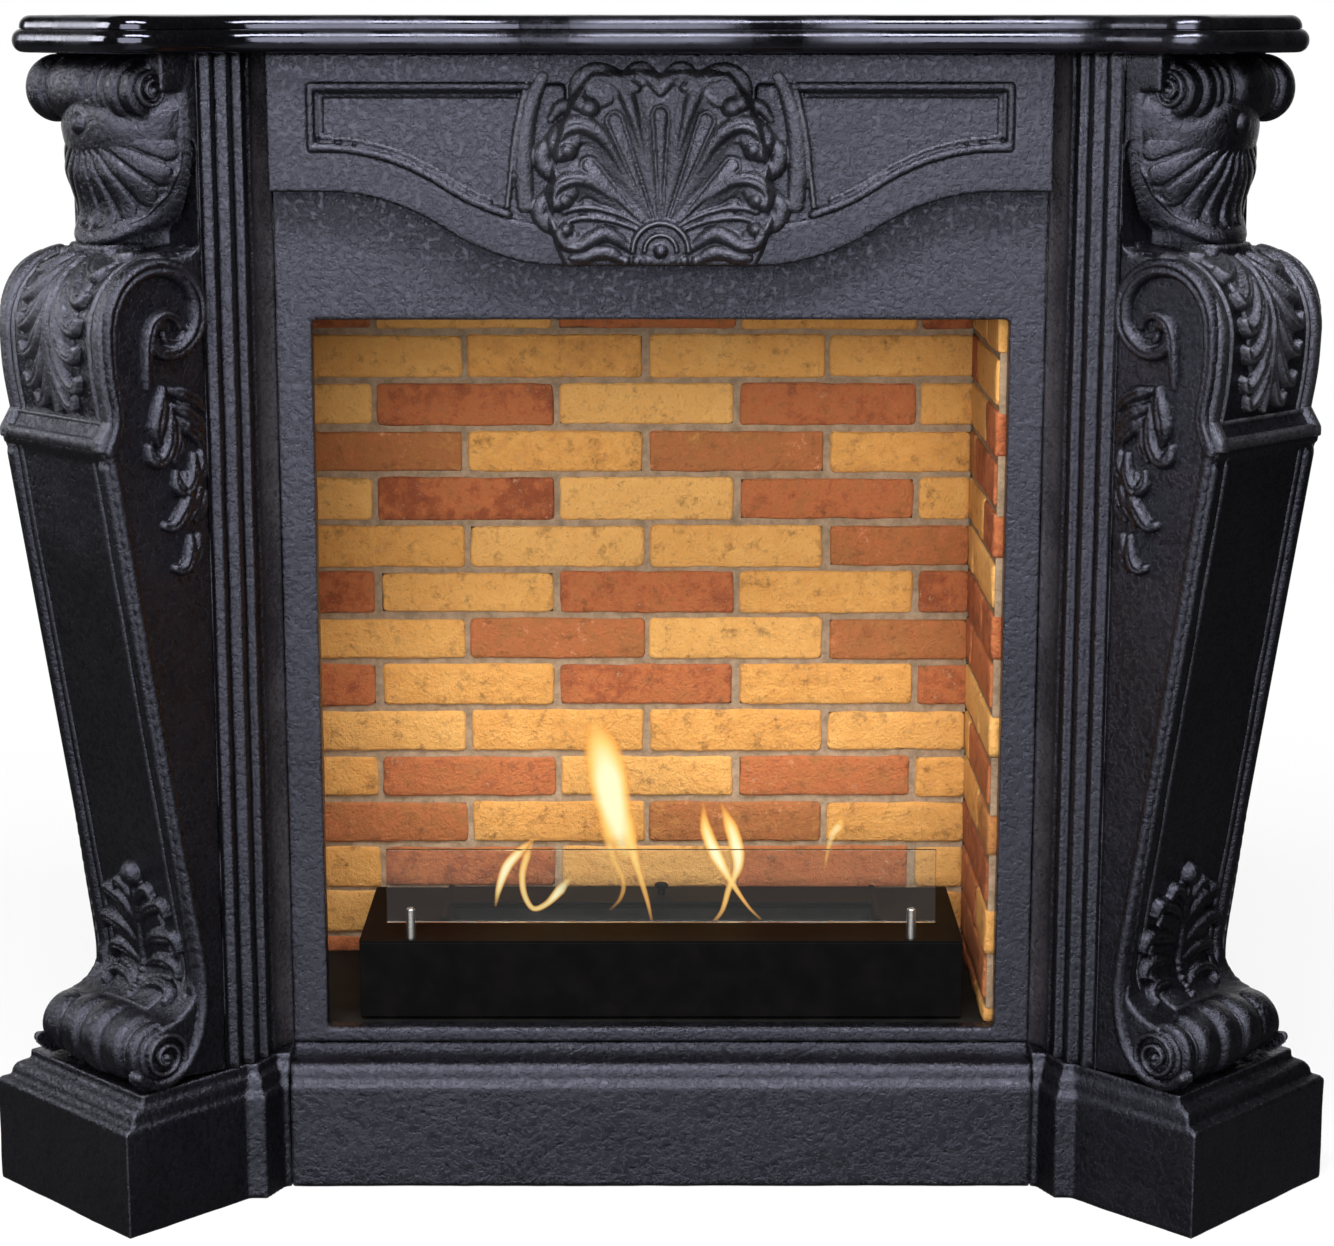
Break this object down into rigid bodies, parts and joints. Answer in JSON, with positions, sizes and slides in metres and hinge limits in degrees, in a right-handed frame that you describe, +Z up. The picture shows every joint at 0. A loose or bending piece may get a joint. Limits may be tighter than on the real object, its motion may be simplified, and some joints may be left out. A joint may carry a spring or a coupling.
{
  "type": "bioethanol fireplace",
  "caption": "Carved black stone mantelpiece with splayed scroll consoles, brick-lined firebox and a slot ethanol burner behind a glass pane.",
  "frame": {"origin": "centre of the overall box, on the floor", "axes": "+X to the right seen from the front, +Y towards the wall behind, +Z up"},
  "size_m": [1.3206, 0.4658, 1.14],
  "materials": {
    "polished_stone": "polished black stone, glossy",
    "carved_stone": "worn charcoal stone, dull wax sheen",
    "honed_stone": "honed slate-grey stone",
    "brick": "ochre and red fired clay, rough",
    "mortar": "grey-brown lime mortar, rough",
    "liner_board": "matt refractory board",
    "black_sheet": "matt black heat-proof paint",
    "black_burner": "fine-textured black powder coat",
    "stainless": "brushed stainless steel",
    "ceramic_fibre": "white ceramic wool",
    "clear_glass": "clear toughened glass, polished edges",
    "black_rubber": "matt",
    "plated_steel": "zinc-plated steel"
  },
  "bodies": {
    "mantel": {"back_board": "liner_board", "back_bricks": "brick", "back_mortar": "mortar", "bracket_bolts": "plated_steel", "burner_deck": "black_burner", "burner_housing": "black_burner", "burner_pads": "black_rubber", "fibre_block": "ceramic_fibre", "firebox_back": "black_sheet", "firebox_floor": "black_sheet", "firebox_left": "black_sheet", "firebox_right": "black_sheet", "firebox_top": "black_sheet", "frieze": "carved_stone", "fuel_tank": "stainless", "hearth_base": "carved_stone", "left_back_foot": "plated_steel", "left_back_leg": "plated_steel", "left_board": "liner_board", "left_bricks": "brick", "left_console": "carved_stone", "left_front_foot": "plated_steel", "left_front_leg": "plated_steel", "left_glass_post": "stainless", "left_jamb": "carved_stone", "left_lid_rail": "black_burner", "left_mortar": "mortar", "left_plinth": "carved_stone", "left_wall_bracket": "plated_steel", "locating_dowels": "plated_steel", "mantel_shelf": "polished_stone", "post_nuts": "stainless", "right_back_foot": "plated_steel", "right_back_leg": "plated_steel", "right_board": "liner_board", "right_bricks": "brick", "right_console": "carved_stone", "right_front_foot": "plated_steel", "right_front_leg": "plated_steel", "right_glass_post": "stainless", "right_jamb": "carved_stone", "right_lid_rail": "black_burner", "right_mortar": "mortar", "right_plinth": "carved_stone", "right_wall_bracket": "plated_steel", "surround_panel": "honed_stone"},
    "lid": {"snuffer_lid": "black_burner", "lid_knob": "black_burner"},
    "glass": {"glass_pane": "clear_glass"}
  },
  "joints": [
    {"name": "snuffer_slide", "type": "slide", "parent": "mantel", "child": "lid", "axis": [0, -1, 0], "range_m": [0, 0.058]},
    {"name": "glass_lift", "type": "slide", "parent": "mantel", "child": "glass", "axis": [0, 0, 1], "range_m": [0, 0.06]}
  ]
}
